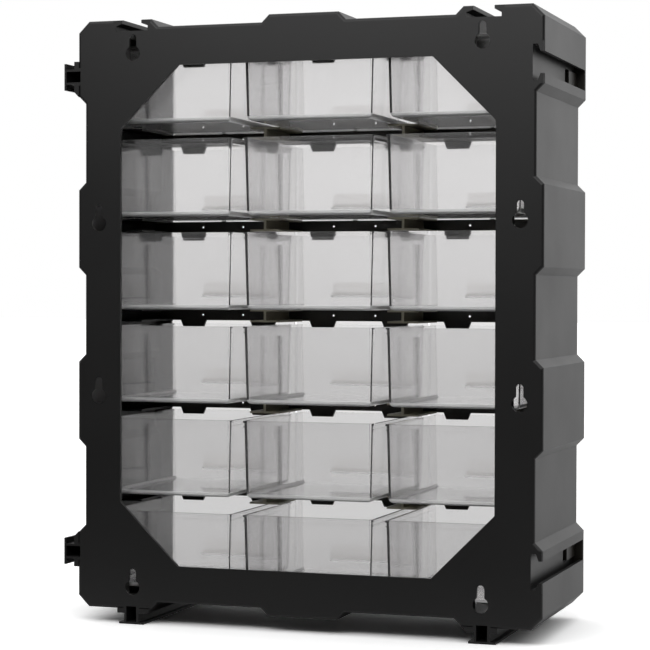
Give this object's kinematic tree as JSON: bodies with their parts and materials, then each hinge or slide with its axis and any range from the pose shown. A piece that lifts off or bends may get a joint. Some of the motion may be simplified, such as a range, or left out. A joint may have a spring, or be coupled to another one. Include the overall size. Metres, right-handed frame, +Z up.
{
  "type": "compartment organizer box",
  "caption": "Black wall cabinet of clear pull-out drawers on light grey runners, with an open octagonal back, keyholes, and T-rails and slots for joining or stacking cabinets",
  "frame": {"origin": "under the middle of the bounding box, on the plane the feet stand on", "axes": "X across the cabinet to the right seen from the front, Y from the front to the back so that the drawers pull out along -Y, Z up"},
  "size_m": [0.388, 0.16, 0.475],
  "materials": {
    "black_plastic": "fine moulded texture, satin",
    "grey_plastic": "smooth moulded, light warm grey",
    "clear_plastic": "clear polystyrene, polished"
  },
  "bodies": {
    "cabinet": {"rear_housing": "black_plastic", "front_grid": "black_plastic", "runner_1_left": "grey_plastic", "runner_1_right": "grey_plastic", "runner_2_left": "grey_plastic", "runner_2_right": "grey_plastic", "runner_3_left": "grey_plastic", "runner_3_right": "grey_plastic", "runner_4_left": "grey_plastic", "runner_4_right": "grey_plastic", "runner_5_left": "grey_plastic", "runner_5_right": "grey_plastic"},
    "drawer_1_left_body": {"drawer_1_left": "clear_plastic"},
    "drawer_1_middle_body": {"drawer_1_middle": "clear_plastic"},
    "drawer_1_right_body": {"drawer_1_right": "clear_plastic"},
    "drawer_2_left_body": {"drawer_2_left": "clear_plastic"},
    "drawer_2_middle_body": {"drawer_2_middle": "clear_plastic"},
    "drawer_2_right_body": {"drawer_2_right": "clear_plastic"},
    "drawer_3_left_body": {"drawer_3_left": "clear_plastic"},
    "drawer_3_middle_body": {"drawer_3_middle": "clear_plastic"},
    "drawer_3_right_body": {"drawer_3_right": "clear_plastic"},
    "drawer_4_left_body": {"drawer_4_left": "clear_plastic"},
    "drawer_4_middle_body": {"drawer_4_middle": "clear_plastic"},
    "drawer_4_right_body": {"drawer_4_right": "clear_plastic"},
    "drawer_5_left_body": {"drawer_5_left": "clear_plastic"},
    "drawer_5_middle_body": {"drawer_5_middle": "clear_plastic"},
    "drawer_5_right_body": {"drawer_5_right": "clear_plastic"},
    "drawer_6_left_body": {"drawer_6_left": "clear_plastic"},
    "drawer_6_middle_body": {"drawer_6_middle": "clear_plastic"},
    "drawer_6_right_body": {"drawer_6_right": "clear_plastic"}
  },
  "joints": [
    {"name": "drawer_1_left_slide", "type": "slide", "parent": "cabinet", "child": "drawer_1_left_body", "axis": [0, -1, 0], "range_m": [0, 0.125]},
    {"name": "drawer_1_middle_slide", "type": "slide", "parent": "cabinet", "child": "drawer_1_middle_body", "axis": [0, -1, 0], "range_m": [0, 0.125]},
    {"name": "drawer_1_right_slide", "type": "slide", "parent": "cabinet", "child": "drawer_1_right_body", "axis": [0, -1, 0], "range_m": [0, 0.125]},
    {"name": "drawer_2_left_slide", "type": "slide", "parent": "cabinet", "child": "drawer_2_left_body", "axis": [0, -1, 0], "range_m": [0, 0.125]},
    {"name": "drawer_2_middle_slide", "type": "slide", "parent": "cabinet", "child": "drawer_2_middle_body", "axis": [0, -1, 0], "range_m": [0, 0.125]},
    {"name": "drawer_2_right_slide", "type": "slide", "parent": "cabinet", "child": "drawer_2_right_body", "axis": [0, -1, 0], "range_m": [0, 0.125]},
    {"name": "drawer_3_left_slide", "type": "slide", "parent": "cabinet", "child": "drawer_3_left_body", "axis": [0, -1, 0], "range_m": [0, 0.125]},
    {"name": "drawer_3_middle_slide", "type": "slide", "parent": "cabinet", "child": "drawer_3_middle_body", "axis": [0, -1, 0], "range_m": [0, 0.125]},
    {"name": "drawer_3_right_slide", "type": "slide", "parent": "cabinet", "child": "drawer_3_right_body", "axis": [0, -1, 0], "range_m": [0, 0.125]},
    {"name": "drawer_4_left_slide", "type": "slide", "parent": "cabinet", "child": "drawer_4_left_body", "axis": [0, -1, 0], "range_m": [0, 0.125]},
    {"name": "drawer_4_middle_slide", "type": "slide", "parent": "cabinet", "child": "drawer_4_middle_body", "axis": [0, -1, 0], "range_m": [0, 0.125]},
    {"name": "drawer_4_right_slide", "type": "slide", "parent": "cabinet", "child": "drawer_4_right_body", "axis": [0, -1, 0], "range_m": [0, 0.125]},
    {"name": "drawer_5_left_slide", "type": "slide", "parent": "cabinet", "child": "drawer_5_left_body", "axis": [0, -1, 0], "range_m": [0, 0.125]},
    {"name": "drawer_5_middle_slide", "type": "slide", "parent": "cabinet", "child": "drawer_5_middle_body", "axis": [0, -1, 0], "range_m": [0, 0.125]},
    {"name": "drawer_5_right_slide", "type": "slide", "parent": "cabinet", "child": "drawer_5_right_body", "axis": [0, -1, 0], "range_m": [0, 0.125]},
    {"name": "drawer_6_left_slide", "type": "slide", "parent": "cabinet", "child": "drawer_6_left_body", "axis": [0, -1, 0], "range_m": [0, 0.125]},
    {"name": "drawer_6_middle_slide", "type": "slide", "parent": "cabinet", "child": "drawer_6_middle_body", "axis": [0, -1, 0], "range_m": [0, 0.125]},
    {"name": "drawer_6_right_slide", "type": "slide", "parent": "cabinet", "child": "drawer_6_right_body", "axis": [0, -1, 0], "range_m": [0, 0.125]}
  ]
}
